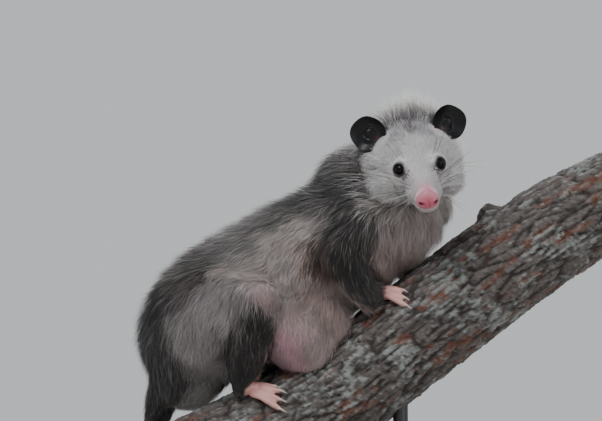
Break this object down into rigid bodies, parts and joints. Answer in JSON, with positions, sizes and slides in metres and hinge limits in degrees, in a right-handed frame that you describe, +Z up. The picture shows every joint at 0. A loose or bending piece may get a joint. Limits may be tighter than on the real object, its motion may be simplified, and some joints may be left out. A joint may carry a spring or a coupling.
{
  "type": "virginia opossum on a limb perch",
  "caption": "Life-size still model of an opossum climbing a sloping cut length of limb, its tail wound round the limb, held on a flat display base by short rods.",
  "frame": {"origin": "centre of the stand base's underside, on the floor that the stand rests on", "axes": "+Z up; +X the way the limb climbs and the animal's body points; -Y the side that its face looks to"},
  "size_m": [0.5583, 0.2421, 0.4698],
  "materials": {
    "grey_coat": "long grizzled fur, grey underfur with pale and dark guard hairs",
    "pale_face": "short white fur with grey shading",
    "dark_leg": "short blackish brown fur",
    "bare_pink": "bare pink skin, fine wrinkles, soft sheen",
    "bare_black": "thin bare leathery skin, glossy black",
    "eye_black": "wet black eye",
    "tail_skin": "scaly bare skin, black at the root and pinkish beyond",
    "bark": "furrowed bark with grey ridges, reddish furrows and lichen",
    "stand_paint": "satin dark grey paint"
  },
  "bodies": {
    "root": {"head": "pale_face", "nose": "bare_pink", "eye_right": "eye_black", "eye_left": "eye_black", "ear_right": "bare_black", "ear_left": "bare_black", "neck": "grey_coat", "torso": "grey_coat", "thigh_right": "grey_coat", "thigh_left": "grey_coat", "upper_arm_right": "grey_coat", "upper_arm_left": "grey_coat", "forearm_right": "dark_leg", "forearm_left": "dark_leg", "shank_right": "dark_leg", "shank_left": "dark_leg", "hand_right": "bare_pink", "hand_left": "bare_pink", "foot_right": "bare_pink", "foot_left": "bare_pink", "tail_base": "tail_skin", "tail_middle": "tail_skin", "tail_tip": "tail_skin", "limb": "bark", "stand_base": "stand_paint", "stand_rod_low": "stand_paint", "stand_rod_high": "stand_paint"}
  },
  "joints": []
}
